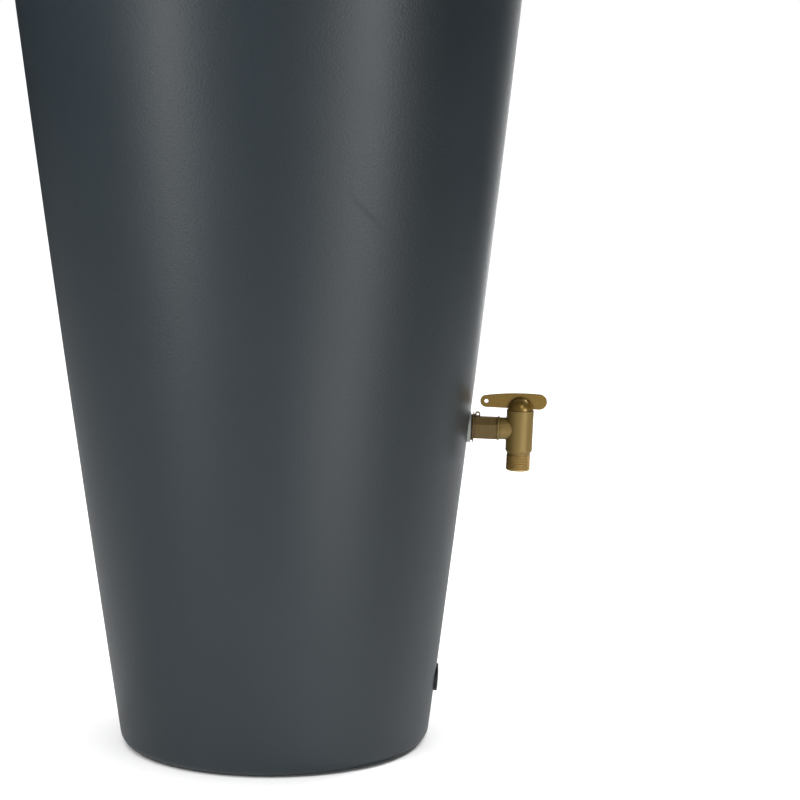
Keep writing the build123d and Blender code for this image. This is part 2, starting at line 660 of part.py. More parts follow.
# ---- blanked lower port ----
def make_blanking_plug():
    """Closed threaded plug with a low crowned head on its seal."""
    head_back = -PLUG_SEAT_DEPTH + BLANK_SEAL_THICKNESS
    crown_start = (0, BLANK_HEAD_EDGE + BLANK_CROWN)
    crown_end = (BLANK_HEAD_RADIUS, BLANK_HEAD_EDGE)
    crown_middle = (BLANK_HEAD_RADIUS / 2, BLANK_HEAD_EDGE + BLANK_CROWN * (1 - 0.5**2))
    edges = [
        ThreePointArc(crown_start, crown_middle, crown_end),
        Line(crown_end, (BLANK_HEAD_RADIUS, head_back)),
        Line((BLANK_HEAD_RADIUS, head_back), (0, head_back)),
        Line((0, head_back), crown_start),
    ]
    outline = make_face(Wire(edges))
    rim = max(outline.vertices(), key=lambda v: v.X + v.Y)
    outline = outline.face().fillet_2d(BLANK_EDGE_ROUNDING, [rim])
    head = Rot(0, 0, -90) * revolve(outline, Axis.Y)
    plug = head + rod(THREAD_CREST_RADIUS, BLANK_SHANK_END, head_back)
    return plug - rod(BLANK_BORE_RADIUS, BLANK_SHANK_END - CUT, BLANK_SHANK_END + BLANK_BORE_DEPTH)


def make_blanking_seal():
    face = -PLUG_SEAT_DEPTH + BLANK_SEAL_THICKNESS
    return rod(BLANK_SEAL_RADIUS, -PLUG_SEAT_DEPTH, face) - rod(
        SHANK_HOLE_RADIUS, -PLUG_SEAT_DEPTH - CUT, face + CUT
    )


def main():
    tap_port = port_location(TAP_HEIGHT, TAP_DROOP)
    low_port = port_location(PLUG_HEIGHT, PLUG_DROOP)
    write("barrel_shell", make_shell())
    write("lid", make_lid())
    write("leaf_strainer", make_strainer())
    write("strainer_screen", make_screen())
    write("tap_seal", tap_port * make_tap_seal())
    write("tap_inlet_fitting", tap_port * make_inlet_fitting())
    write("tap_inner_washer", tap_port * make_inner_washer())
    write("tap_back_nut", tap_port * make_back_nut())
    write("tap_spigot_ring", tap_port * make_spigot_ring())
    write("tap_body", tap_port * make_tap_body())
    write("valve_plug", tap_port * make_valve_plug())
    write("valve_ring_upper", tap_port * make_valve_ring(UPPER_RING))
    write("valve_ring_lower", tap_port * make_valve_ring(LOWER_RING))
    write("tap_lever", tap_port * make_lever())
    write("lever_screw", tap_port * make_lever_screw())
    write("blanking_plug", low_port * make_blanking_plug())
    write("blanking_seal", low_port * make_blanking_seal())
    write("blanking_inner_washer", low_port * make_inner_washer())
    write("blanking_back_nut", low_port * make_back_nut())


main()
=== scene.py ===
"""Looks of the tapered rain barrel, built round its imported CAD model. Metres, +Z up, tap on +X."""

import json
import math

import bmesh
import bpy
from mathutils import Matrix, Vector


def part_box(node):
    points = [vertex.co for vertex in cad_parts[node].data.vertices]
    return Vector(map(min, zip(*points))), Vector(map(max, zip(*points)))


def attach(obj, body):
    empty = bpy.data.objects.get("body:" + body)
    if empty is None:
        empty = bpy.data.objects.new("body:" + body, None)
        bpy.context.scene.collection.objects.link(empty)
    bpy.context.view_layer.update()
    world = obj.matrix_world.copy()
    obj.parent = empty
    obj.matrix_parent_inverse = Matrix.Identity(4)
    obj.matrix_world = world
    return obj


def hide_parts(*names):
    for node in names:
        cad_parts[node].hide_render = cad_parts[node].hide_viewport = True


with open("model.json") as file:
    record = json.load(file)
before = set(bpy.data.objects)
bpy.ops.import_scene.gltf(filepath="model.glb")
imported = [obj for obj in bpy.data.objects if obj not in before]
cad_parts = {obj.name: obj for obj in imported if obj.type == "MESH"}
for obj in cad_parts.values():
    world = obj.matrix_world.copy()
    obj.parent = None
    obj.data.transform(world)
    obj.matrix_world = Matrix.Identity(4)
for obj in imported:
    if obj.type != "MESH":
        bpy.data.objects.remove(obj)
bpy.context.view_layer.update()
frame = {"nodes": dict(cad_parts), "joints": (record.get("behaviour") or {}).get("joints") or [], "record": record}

MM = 0.001
AXIS_LIMIT = 0.01            # mm; an outline point nearer to the axis than this lies on it
CUT_PAST = 1.0               # mm that a cutter runs past what it cuts
WELD = 1.0                   # mm that one part of a moulding runs into the next

# ---- the barrel's wall, as in the CAD model (mm) ----
FOOT_RADIUS = 169.6
MIDDLE_RADIUS = 236.8
TOP_RADIUS = 296.8
WALL = 4.0
FOOT_ROUNDING = 14.0
FOOT_RECESS = 8.0
FOOT_RING_WIDTH = 30.0
FOOT_RECESS_SLOPE = 10.0
WALL_ROWS = 80
SHELL_SEGMENTS = 288
RIM_OVERHANG = 13.0
RIM_THICKNESS = 4.0
RIM_DROP = 20.0
FOOT_RECESS_ROUNDING = 3.0
RIM_TOP_ROUNDING = 3.0
RIM_ROOT_ROUNDING = 2.0
RIM_INSIDE_ROUNDING = 1.0
RIM_LIP_ROUNDING = 0.8
SHELL_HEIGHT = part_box("barrel_shell")[1].z / MM

# ---- lid and strainer (mm) ----
LID_GAP = 0.3
LID_SIDE_GAP = 0.8
LID_WALL = 3.2
LID_SKIRT_DROP = 24.0
LID_RISE = 14.0
LID_SHOULDER_WIDTH = 22.0
LID_STEP = 5.0
LID_SEGMENTS = 360
LID_RADIUS = TOP_RADIUS + RIM_OVERHANG + LID_SIDE_GAP + LID_WALL
LID_UNDERSIDE = SHELL_HEIGHT + LID_GAP
LID_SKIRT_FOOT = LID_UNDERSIDE - LID_SKIRT_DROP
LID_BAND_TOP = LID_UNDERSIDE + LID_WALL
DECK_RADIUS = LID_RADIUS - LID_SHOULDER_WIDTH
DECK_ROWS = 40
DECK_EDGE = LID_BAND_TOP + LID_STEP
DECK_CENTRE = DECK_EDGE + LID_RISE
LID_RIB_COUNT = 12
LID_RIB_WIDTH = 3.0
LID_RIB_INNER_DEPTH = 12.0
LID_RIB_OUTER_DEPTH = 4.0
LID_RIB_END_GAP = 4.0
LID_RIB_ROUNDING = 0.5
FLUTE_DEPTH = 0.9            # shallow radial flutes in the deck, one over each rib
FLUTE_WIDTH = 9.0
FLUTE_END_GAP = 12.0
FLUTE_END_FADE = 10.0
DECK_SKIN = 1.0              # a vertex no further below the deck's slope is on its top
GRIP_TAB_WIDTH = 80.0
GRIP_TAB_REACH = 14.0
GRIP_TAB_CORNER = 6.0
GRIP_TAB_THICKNESS = 4.0
GRIP_TAB_ROUNDING = 0.9
SEAT_LEDGE_WIDTH = 12.0
STRAINER_FLANGE_RADIUS = 92.0
STRAINER_TOP_RADIUS = 80.0
STRAINER_FLOOR_RADIUS = 68.0
STRAINER_DEPTH = 62.0
STRAINER_WALL = 2.6
STRAINER_FLANGE = 3.0
STRAINER_SEGMENTS = 216
STRAINER_SEAT = DECK_CENTRE - STRAINER_FLANGE
STRAINER_REST = STRAINER_SEAT + LID_GAP
STRAINER_FOOT = STRAINER_REST - STRAINER_DEPTH
SEAT_RADIUS = STRAINER_FLANGE_RADIUS + 1.0
COLLAR_RADIUS = SEAT_RADIUS + LID_WALL
SIDE_SLOT_COUNT = 36
SIDE_SLOT_WIDTH = 4.0
SIDE_SLOT_HEIGHT = 38.4
SIDE_SLOT_MIDDLE = 27.9      # above the basket's foot
SIDE_SLOT_END_SHARE = 0.98   # of half the slot's width, so that a short flat stays at each end
SIDE_SLOT_CUT_INNER = STRAINER_FLOOR_RADIUS - 10.0
SIDE_SLOT_CUT_OUTER = STRAINER_TOP_RADIUS + 6.0
FLOOR_HOLE_RADIUS = 56.0
FLOOR_HUB_RADIUS = 14.0
FLOOR_SPOKE_COUNT = 6
FLOOR_SPOKE_WIDTH = 5.0
FLOOR_WINDOW_STEPS = 12
SCREEN_RADIUS = 65.1
SCREEN_RIM = 2.0
SCREEN_SEGMENTS = 180
WIRE_PITCH = 2.6
WIRE_RADIUS = 0.19
WIRE_WAVE = 0.2
SCREEN_LOW = STRAINER_FOOT + STRAINER_WALL
SCREEN_HIGH = SCREEN_LOW + 2 * (WIRE_RADIUS + WIRE_WAVE)
SCREEN_MIDDLE = (SCREEN_LOW + SCREEN_HIGH) / 2
SCREEN_REACH = SCREEN_RADIUS - SCREEN_RIM / 2
SCREEN_RIM_ROUNDING = 0.2

# ---- ports (mm and degrees) ----
BODY_REACH = 55.6            # from the wall's outside to the axis on which the tap turns
PORT_HOLE_RADIUS = 13.5
PORT_HOLE_CUT_REACH = 5.0
PORT_BOSS_RADIUS = 25.0
PORT_BOSS_DEPTH = 8.0
PORT_BOSS_ROOT = 3.4         # depth of the boss's root, inside the thickness of the wall
SEAT_CUT_REACH = 12.0
TAP_SEAT_RADIUS = 17.1
TAP_SEAT_DEPTH = 1.9
PLUG_SEAT_RADIUS = 15.7
PLUG_SEAT_DEPTH = 1.6
PLUG_HEIGHT = 68.6
PLUG_DROOP = 3.5             # tilt of the lower port, which faces a little downwards


def joint(name):
    """Row of the frame for one joint."""
    return next(j for j in frame["joints"] if j["name"] == name)


def frame_matrix(origin, up):
    """Frame with z along up, y along the object's +Y and x outwards from the wall."""
    z = Vector(up).normalized()
    y = Vector((0, 1, 0))
    x = y.cross(z)
    matrix = Matrix((x, y, z)).transposed().to_4x4()
    return Matrix.Translation(origin) @ matrix


tap_turn = joint("tap_turn")
tap_axis = frame_matrix(Vector(tap_turn["pos_m"]), tap_turn["axis"])
tap_port = tap_axis @ Matrix.Translation((-BODY_REACH * MM, 0, 0))


# ---- outlines ----
def circle_through(a, b, c):
    """Centre and radius of the circle through three points of a plane."""
    d = 2 * (a[0] * (b[1] - c[1]) + b[0] * (c[1] - a[1]) + c[0] * (a[1] - b[1]))
    a2 = a[0] ** 2 + a[1] ** 2
    b2 = b[0] ** 2 + b[1] ** 2
    c2 = c[0] ** 2 + c[1] ** 2
    x = (a2 * (b[1] - c[1]) + b2 * (c[1] - a[1]) + c2 * (a[1] - b[1])) / d
    y = (a2 * (c[0] - b[0]) + b2 * (a[0] - c[0]) + c2 * (b[0] - a[0])) / d
    return x, y, math.hypot(a[0] - x, a[1] - y)


def wall_radius(height, inset=0.0):
    """Radius of the wall's arc at a height, moved inwards by inset."""
    x, y, radius = circle_through(
        (FOOT_RADIUS - inset, 0),
        (MIDDLE_RADIUS - inset, SHELL_HEIGHT / 2),
        (TOP_RADIUS - inset, SHELL_HEIGHT),
    )
    side = 1 if MIDDLE_RADIUS > x else -1
    return x + side * math.sqrt(radius**2 - (height - y) ** 2)


def rounded(corners, closed=False, steps=5):
    """Outline through (x, y, rounding) corners, each replaced by an arc of its rounding."""
    points = []
    count = len(corners)
    for number, (x, y, rounding) in enumerate(corners):
        here = Vector((x, y))
        at_end = not closed and number in (0, count - 1)
        if rounding <= 0 or at_end:
            points.append(here)
            continue
        before = (Vector(corners[number - 1][:2]) - here).normalized()
        after = (Vector(corners[(number + 1) % count][:2]) - here).normalized()
        half = before.angle(after) / 2
        setback = rounding / math.tan(half)
        centre = here + (before + after).normalized() * (rounding / math.sin(half))
        start = here + before * setback - centre
        sweep = start.angle_signed(here + after * setback - centre)
        for step in range(steps + 1):
            turn = Matrix.Rotation(-sweep * step / steps, 2)
            points.append(centre + turn @ start)
    return points


# ---- mesh tools ----
def new_object(name, data):
    piece = bpy.data.objects.new(name, data)
    bpy.context.scene.collection.objects.link(piece)
    return piece


def smooth(piece, angle=35.0):
    """Smooth shading, with edges kept sharp where the surface turns by more than angle."""
    piece.data.shade_smooth()
    piece.data.set_sharp_from_angle(angle=math.radians(angle))


def mesh_object(name, work, place=Matrix.Identity(4)):
    """Object made from a bmesh, which is freed."""
    bmesh.ops.recalc_face_normals(work, faces=work.faces)
    work.transform(place)
    mesh = bpy.data.meshes.new(name)
    work.to_mesh(mesh)
    work.free()
    return new_object(name, mesh)


def lathe(name, outline, segments=128, place=Matrix.Identity(4), closed=True):
    """Surface turned about z from (radius, height) points in millimetres."""
    work = bmesh.new()
    turns = [2 * math.pi * step / segments for step in range(segments)]
    rings = []
    for radius, height in outline:
        if radius < AXIS_LIMIT:
            places = [(0, 0, height * MM)]
        else:
            r = radius * MM
            places = [(r * math.cos(turn), r * math.sin(turn), height * MM) for turn in turns]
        rings.append([work.verts.new(point) for point in places])
    pairs = list(zip(rings, rings[1:]))
    if closed and len(rings[0]) > 1:
        pairs.append((rings[-1], rings[0]))
    for lower, upper in pairs:
        for step in range(segments):
            after = (step + 1) % segments
            corners = [
                lower[step % len(lower)],
                lower[after % len(lower)],
                upper[after % len(upper)],
                upper[step % len(upper)],
            ]
            corners = list(dict.fromkeys(corners))
            if len(corners) > 2:
                work.faces.new(corners)
    return mesh_object(name, work, place)


def prism(name, outline, start, end, place=Matrix.Identity(4)):
    """Straight prism on an outline of (x, y) points, from z = start to end, in millimetres."""
    work = bmesh.new()
    foot = [work.verts.new((x * MM, y * MM, start * MM)) for x, y in outline]
    top = [work.verts.new((x * MM, y * MM, end * MM)) for x, y in outline]
    work.faces.new(list(reversed(foot)))
    work.faces.new(top)
    for number in range(len(outline)):
        after = (number + 1) % len(outline)
        work.faces.new([foot[number], foot[after], top[after], top[number]])
    return mesh_object(name, work, place)


def evaluated_mesh(piece):
    """Mesh that an object's modifiers or curve settings make of it."""
    bpy.context.view_layer.update()
    graph = bpy.context.evaluated_depsgraph_get()
    return bpy.data.meshes.new_from_object(piece.evaluated_get(graph))


def with_modifiers(piece):
    """Replace an object's mesh by what its modifiers make of it."""
    made = evaluated_mesh(piece)
    piece.modifiers.clear()
    piece.data = made


def bevel(piece, width, segments=2, angle=40.0):
    """Round every edge that is sharper than angle, by a width in millimetres."""
    modifier = piece.modifiers.new("edges", "BEVEL")
    modifier.width = width * MM
    modifier.segments = segments
    modifier.limit_method = "ANGLE"
    modifier.angle_limit = math.radians(angle)
    with_modifiers(piece)


def join(name, pieces):
    """One object that holds the meshes of several."""
    work = bmesh.new()
    for piece in pieces:
        mesh = piece.data.copy()
        mesh.transform(piece.matrix_world)
        work.from_mesh(mesh)
        bpy.data.objects.remove(piece)
        bpy.data.meshes.remove(mesh)
    mesh = bpy.data.meshes.new(name)
    work.to_mesh(mesh)
    work.free()
    return new_object(name, mesh)


def boolean(piece, tool, operation):
    """Cut tool from piece, or join it on, and remove tool."""
    modifier = piece.modifiers.new(operation, "BOOLEAN")
    modifier.operation = operation
    modifier.solver = "EXACT"
    modifier.object = tool
    with_modifiers(piece)
    bpy.data.objects.remove(tool)


# ---- materials ----
SCUFF_START = (-68.2, 0.627)  # degrees round the barrel, and height in metres
SCUFF_END = (-55.3, 0.574)
SCUFF_WIDTH = 0.008
SCUFF_REACH_INTO_WALL = 0.05
SCUFF_CORE_SHARE = 0.3       # of its reach, where it is at its full strength
SCUFF_ROUGHNESS = 0.07
MOTTLE_SCALE = 9.0           # scales of noise are in cycles per metre, depths in metres
GRAIN_SCALE = 420.0
WAVE_SCALE = 5.0
PLASTIC_WEAR = 0.012
PLASTIC_IOR = 1.48
FLAKE_SCALE = 2600.0
TURNING_SCALE = 700.0
BRASS_WEAR_SCALE = 300.0
BRASS_WEAR = 0.05
# painted shade: the dark brass laid into the tap's creases, where ambient occlusion finds them
BRASS_PAINTED_CREASE_SHADE = (0.045, 0.028, 0.010)
# painted light: a lighter brass laid on the hose thread so that it reads as lit
BRASS_PAINTED_THREAD_LIGHT = (0.62, 0.42, 0.14)
CREASE_REACH = 0.003         # metres over which a crease on the tap gets painted shade
CREASE_CLOSED = 0.4          # openness at which the painted shade is darkest, and where it ends
CREASE_OPEN = 0.95
# share of the painted light that lightens the hose thread
THREAD_PAINTED_LIGHT = 0.65
THREAD_DROP = 0.0284         # metres from the turning joint's point down to the thread
THREAD_TOP = tap_turn["pos_m"][2] - THREAD_DROP
THREAD_FADE = 0.001
BLOOM_SCALE = 220.0
BLOOM_WEAR = 0.06
BLOOM_DEPTH = 0.00003
DRAWING_SCALE = 900.0
STEEL_DARK = (0.42, 0.42, 0.41)
STEEL_LIGHT = (0.62, 0.62, 0.60)


class Nodes:
    """Small wrapper that adds and links shader nodes of one material."""

    def __init__(self, name):
        self.material = bpy.data.materials.new(name)
        self.material.use_nodes = True
        self.tree = self.material.node_tree
        self.tree.nodes.clear()
        self.shader = self.add("ShaderNodeBsdfPrincipled")
        output = self.add("ShaderNodeOutputMaterial")
        self.link(self.shader, "BSDF", output, "Surface")
        self.place = self.add("ShaderNodeTexCoord")

    def add(self, kind, **values):
        node = self.tree.nodes.new(kind)
        for name, value in values.items():
            setattr(node, name, value)
        return node

    def link(self, source, output, target, name):
        """Link two sockets by name, the ones in use where several share a name."""
        outgoing = next(s for s in source.outputs if s.name == output and s.enabled)
        incoming = next(s for s in target.inputs if s.name == name and s.enabled)
        self.tree.links.new(outgoing, incoming)

    def noise(self, scale, detail=2.0, roughness=0.5, stretch=None):
        """Noise in the object's own space, scale in cycles per metre."""
        node = self.add("ShaderNodeTexNoise")
        node.inputs["Scale"].default_value = scale
        node.inputs["Detail"].default_value = detail
        node.inputs["Roughness"].default_value = roughness
        if stretch is None:
            self.link(self.place, "Object", node, "Vector")
            return node
        mapping = self.add("ShaderNodeMapping")
        mapping.inputs["Scale"].default_value = stretch
        self.link(self.place, "Object", mapping, "Vector")
        self.link(mapping, "Vector", node, "Vector")
        return node

    def spread(self, source, output, low, high, start=0.3, end=0.7):
        """Map a 0 to 1 value onto low to high."""
        node = self.add("ShaderNodeMapRange")
        node.inputs["From Min"].default_value = start
        node.inputs["From Max"].default_value = end
        node.inputs["To Min"].default_value = low
        node.inputs["To Max"].default_value = high
        self.link(source, output, node, "Value")
        return node

    def blend(self, factor, output, first, second):
        """Colour that goes from first to second with a value."""
        node = self.add("ShaderNodeMix", data_type="RGBA")
        ends = [s for s in node.inputs if s.name in ("A", "B") and s.enabled]
        ends[0].default_value = (*first, 1)
        ends[1].default_value = (*second, 1)
        self.link(factor, output, node, "Factor")
        return node

    def cover(self, below, colour, share):
        """Colour that goes from the one below to another with a share made by spread."""
        node = self.blend(share, "Result", colour, colour)
        self.link(below, "Result", node, "A")
        return node

    def combine(self, operation, first, second):
        """Arithmetic on the first outputs of two nodes."""
        node = self.add("ShaderNodeMath", operation=operation)
        self.tree.links.new(first.outputs[0], node.inputs[0])
        self.tree.links.new(second.outputs[0], node.inputs[1])
        return node

    def bump(self, source, output, depth, below=None):
        """Bump of a depth in metres, stacked on the bump below it."""
        node = self.add("ShaderNodeBump")
        node.inputs["Strength"].default_value = 1.0
        node.inputs["Distance"].default_value = depth
        self.link(source, output, node, "Height")
        if below is not None:
            self.link(below, "Normal", node, "Normal")
        return node

    def set(self, name, value):
        self.shader.inputs[name].default_value = value


def on_wall(turn, height):
    """Point of the wall's outside from degrees round the barrel and height in metres."""
    radius = wall_radius(height / MM) * MM
    angle = math.radians(turn)
    return Vector((radius * math.cos(angle), radius * math.sin(angle), height))


def scuff_band(nodes, offset, direction, reach, strength=1.0):
    """Strength near the scuff's middle, measured along direction, fading to 0 at its reach."""
    away = nodes.add("ShaderNodeVectorMath", operation="DOT_PRODUCT")
    away.inputs[1].default_value = direction
    nodes.link(offset, "Vector", away, "Vector")
    distance = nodes.add("ShaderNodeMath", operation="ABSOLUTE")
    nodes.link(away, "Value", distance, "Value")
    return nodes.spread(distance, "Value", strength, 0.0, reach * SCUFF_CORE_SHARE, reach)


def scuff(nodes, sheen):
    """Faint diagonal scuff on the wall, a little rougher than the skin round it."""
    start = on_wall(*SCUFF_START)
    end = on_wall(*SCUFF_END)
    middle = (start + end) / 2
    along = (end - start).normalized()
    outwards = Vector((middle.x, middle.y, 0)).normalized()
    across = along.cross(outwards).normalized()
    offset = nodes.add("ShaderNodeVectorMath", operation="SUBTRACT")
    offset.inputs[1].default_value = middle
    nodes.link(nodes.place, "Object", offset, "Vector")
    width = scuff_band(nodes, offset, across, SCUFF_WIDTH / 2, SCUFF_ROUGHNESS)
    length = scuff_band(nodes, offset, along, (end - start).length / 2)
    depth = scuff_band(nodes, offset, outwards, SCUFF_REACH_INTO_WALL)
    patch = nodes.combine("MULTIPLY", width, length)
    patch = nodes.combine("MULTIPLY", patch, depth)
    total = nodes.combine("ADD", sheen, patch)
    nodes.link(total, "Value", nodes.shader, "Roughness")


def moulded_plastic(name, dark, light, gloss, grain_depth, wave_depth=0.0, scuffed=False):
    """Satin plastic: faint mottling, a leathery orange-peel grain and slow waves in the wall."""
    nodes = Nodes(name)
    mottle = nodes.noise(MOTTLE_SCALE, detail=4.0)
    tone = nodes.blend(mottle, "Fac", dark, light)
    nodes.link(tone, "Result", nodes.shader, "Base Color")
    worn = nodes.noise(MOTTLE_SCALE, detail=2.0)
    sheen = nodes.spread(worn, "Fac", gloss - PLASTIC_WEAR, gloss + PLASTIC_WEAR)
    nodes.link(sheen, "Result", nodes.shader, "Roughness")
    if scuffed:
        scuff(nodes, sheen)
    grain = nodes.noise(GRAIN_SCALE, detail=2.0, roughness=0.6)
    relief = nodes.bump(grain, "Fac", grain_depth)
    if wave_depth:
        wave = nodes.noise(WAVE_SCALE, detail=1.0, stretch=(1.0, 1.0, 0.5))
        relief = nodes.bump(wave, "Fac", wave_depth, relief)
    nodes.link(relief, "Normal", nodes.shader, "Normal")
    nodes.set("IOR", PLASTIC_IOR)
    return nodes.material


def creases(nodes):
    """1 in a crease, 0 on an open face: the share of painted shade that darkens the colour there."""
    shelter = nodes.add("ShaderNodeAmbientOcclusion", samples=8)
    shelter.inputs["Distance"].default_value = CREASE_REACH
    return nodes.spread(shelter, "AO", 1.0, 0.0, CREASE_CLOSED, CREASE_OPEN)


def hose_thread(nodes):
    """How much painted light lightens the hose thread, everything below the neck."""
    place = nodes.add("ShaderNodeSeparateXYZ")
    nodes.link(nodes.place, "Object", place, "Vector")
    return nodes.spread(place, "Z", THREAD_PAINTED_LIGHT, 0.0, THREAD_TOP - THREAD_FADE, THREAD_TOP)


def brass_plastic(
    name, dark, light, metallic, gloss, flake_depth, turning_depth=0.0, thread_painted_light=False
):
    """Brass-coloured plastic: metal flake under a satin skin, with painted shade darkening the creases and, where
    asked, a painted lighter hose thread.
    """
    nodes = Nodes(name)
    flake = nodes.noise(FLAKE_SCALE, detail=2.0, roughness=0.7)
    speckle = nodes.spread(flake, "Fac", 0.0, 1.0, 0.35, 0.65)
    tone = nodes.blend(speckle, "Result", dark, light)
    # painted shade: the colour darkens towards the crease colour wherever ambient occlusion finds a crease
    tone = nodes.cover(tone, BRASS_PAINTED_CREASE_SHADE, creases(nodes))
    if thread_painted_light:
        # painted light: the hose thread's colour is lightened
        tone = nodes.cover(tone, BRASS_PAINTED_THREAD_LIGHT, hose_thread(nodes))
    nodes.link(tone, "Result", nodes.shader, "Base Color")
    nodes.set("Metallic", metallic)
    worn = nodes.noise(BRASS_WEAR_SCALE, detail=3.0)
    sheen = nodes.spread(worn, "Fac", gloss - BRASS_WEAR, gloss + BRASS_WEAR)
    nodes.link(sheen, "Result", nodes.shader, "Roughness")
    relief = nodes.bump(flake, "Fac", flake_depth)
    if turning_depth:
        turning = nodes.noise(TURNING_SCALE, detail=2.0, stretch=(1.0, 0.03, 0.03))
        relief = nodes.bump(turning, "Fac", turning_depth, relief)
    nodes.link(relief, "Normal", nodes.shader, "Normal")
    return nodes.material


def rubber(name, dark, light, gloss):
    """Smooth rubber with a dusty bloom."""
    nodes = Nodes(name)
    bloom = nodes.noise(BLOOM_SCALE, detail=5.0, roughness=0.65)
    tone = nodes.blend(bloom, "Fac", dark, light)
    nodes.link(tone, "Result", nodes.shader, "Base Color")
    sheen = nodes.spread(bloom, "Fac", gloss - BLOOM_WEAR, gloss + BLOOM_WEAR)
    nodes.link(sheen, "Result", nodes.shader, "Roughness")
    relief = nodes.bump(bloom, "Fac", BLOOM_DEPTH)
    nodes.link(relief, "Normal", nodes.shader, "Normal")
    return nodes.material


def steel(name, gloss):
    """Plain stainless steel with fine drawing lines."""
    nodes = Nodes(name)
    lines = nodes.noise(DRAWING_SCALE, detail=3.0, stretch=(1.0, 1.0, 0.15))
    tone = nodes.blend(lines, "Fac", STEEL_DARK, STEEL_LIGHT)
    nodes.link(tone, "Result", nodes.shader, "Base Color")
    nodes.set("Metallic", 1.0)
    sheen = nodes.spread(lines, "Fac", gloss - 0.05, gloss + 0.08)
    nodes.link(sheen, "Result", nodes.shader, "Roughness")
    return nodes.material


finishes = {
    "barrel_plastic": moulded_plastic(
        "barrel_anthracite",
        dark=(0.0195, 0.028, 0.0345),
        light=(0.023, 0.0325, 0.0395),
        gloss=0.395,
        grain_depth=0.00022,
        wave_depth=0.0002,
        scuffed=True,
    ),
    "black_plastic": moulded_plastic(
        "black_moulded_plastic",
        dark=(0.008, 0.008, 0.010),
        light=(0.012, 0.012, 0.014),
        gloss=0.38,
        grain_depth=0.00002,
    ),
    "tap_plastic": brass_plastic(
        "tap_brass_plastic",
        dark=(0.22, 0.148, 0.04),
        light=(0.36, 0.243, 0.074),
        metallic=0.35,
        gloss=0.47,
        flake_depth=0.00001,
        thread_painted_light=True,
    ),
    "grey_rubber": rubber("seal_grey_rubber", (0.38, 0.39, 0.365), (0.45, 0.46, 0.43), 0.55),
    "black_rubber": rubber("ring_black_rubber", (0.010, 0.010, 0.011), (0.018, 0.018, 0.019), 0.5),
    "stainless_steel": steel("screw_steel", 0.3),
    "steel_mesh": steel("screen_steel", 0.35),
}
own_finishes = {             # pieces of the tap that differ from the rest of their slot
    "tap_inlet_fitting": brass_plastic(
        "fitting_brass_plastic",
        dark=(0.135, 0.087, 0.023),
        light=(0.215, 0.14, 0.04),
        metallic=0.1,
        gloss=0.6,
        flake_depth=0.00001,
        turning_depth=0.0004,
    ),
    "tap_lever": brass_plastic(
        "lever_brass_plastic",
        dark=(0.26, 0.16, 0.035),
        light=(0.32, 0.20, 0.045),
        metallic=0.55,
        gloss=0.32,
        flake_depth=0.000001,
    ),
}


def finish(piece, slot_name):
    """Give a piece the material of a slot."""
    piece.data.materials.clear()
    piece.data.materials.append(finishes[slot_name])


def dress_cad_nodes():
    """Give every node that keeps its CAD mesh its own material, or that of its slot."""
    slots = {row["node"]: row["material_slot"] for row in frame["record"]["subparts"]}
    for name, node in frame["nodes"].items():
        for slot in node.material_slots:
            slot.material = own_finishes.get(name, finishes[slots[name]])


# ---- barrel shell ----
def shell_outline():
    """Corners from under the floor, up the outside, over the rim and down the inside."""
    recess = FOOT_RADIUS - FOOT_RING_WIDTH
    under_rim = SHELL_HEIGHT - RIM_THICKNESS
    first_row = 2 * FOOT_ROUNDING
    spacing = (under_rim - first_row) / WALL_ROWS
    rows = [first_row + spacing * number for number in range(WALL_ROWS)]
    lip = TOP_RADIUS + RIM_OVERHANG
    corners = [
        (0, FOOT_RECESS, 0),
        (recess - FOOT_RECESS_SLOPE, FOOT_RECESS, FOOT_RECESS_ROUNDING),
        (recess, 0, FOOT_RECESS_ROUNDING),
        (wall_radius(0), 0, FOOT_ROUNDING),
    ]
    corners += [(wall_radius(z), z, 0) for z in rows]
    corners += [
        (wall_radius(under_rim), under_rim, RIM_ROOT_ROUNDING),
        (lip - RIM_THICKNESS, under_rim, RIM_INSIDE_ROUNDING),
        (lip - RIM_THICKNESS, SHELL_HEIGHT - RIM_DROP, RIM_LIP_ROUNDING),
        (lip, SHELL_HEIGHT - RIM_DROP, RIM_LIP_ROUNDING),
        (lip, SHELL_HEIGHT, RIM_TOP_ROUNDING),
        (wall_radius(SHELL_HEIGHT, WALL), SHELL_HEIGHT, RIM_ROOT_ROUNDING),
    ]
    floor = FOOT_RECESS + WALL
    corners += [(wall_radius(z, WALL), z, 0) for z in reversed(rows)]
    corners += [
        (wall_radius(floor, WALL), floor, FOOT_ROUNDING - WALL),
        (0, floor, 0),
    ]
    return rounded(corners, steps=6)


def plug_port_matrix():
    """Frame of the lower port, on the wall's outside and tilted with the wall."""
    tilt = math.radians(PLUG_DROOP)
    origin = Vector((wall_radius(PLUG_HEIGHT) * MM, 0, PLUG_HEIGHT * MM))
    return frame_matrix(origin, (math.sin(tilt), 0, math.cos(tilt)))


def port_disc(name, port, radius, start, end, segments=64):
    """Disc on a port's axis, from start to end along it."""
    outline = [(0, start), (radius, start), (radius, end), (0, end)]
    upright_to_port = Matrix.Rotation(math.pi / 2, 4, "Y")
    return lathe(name, outline, segments, port @ upright_to_port)


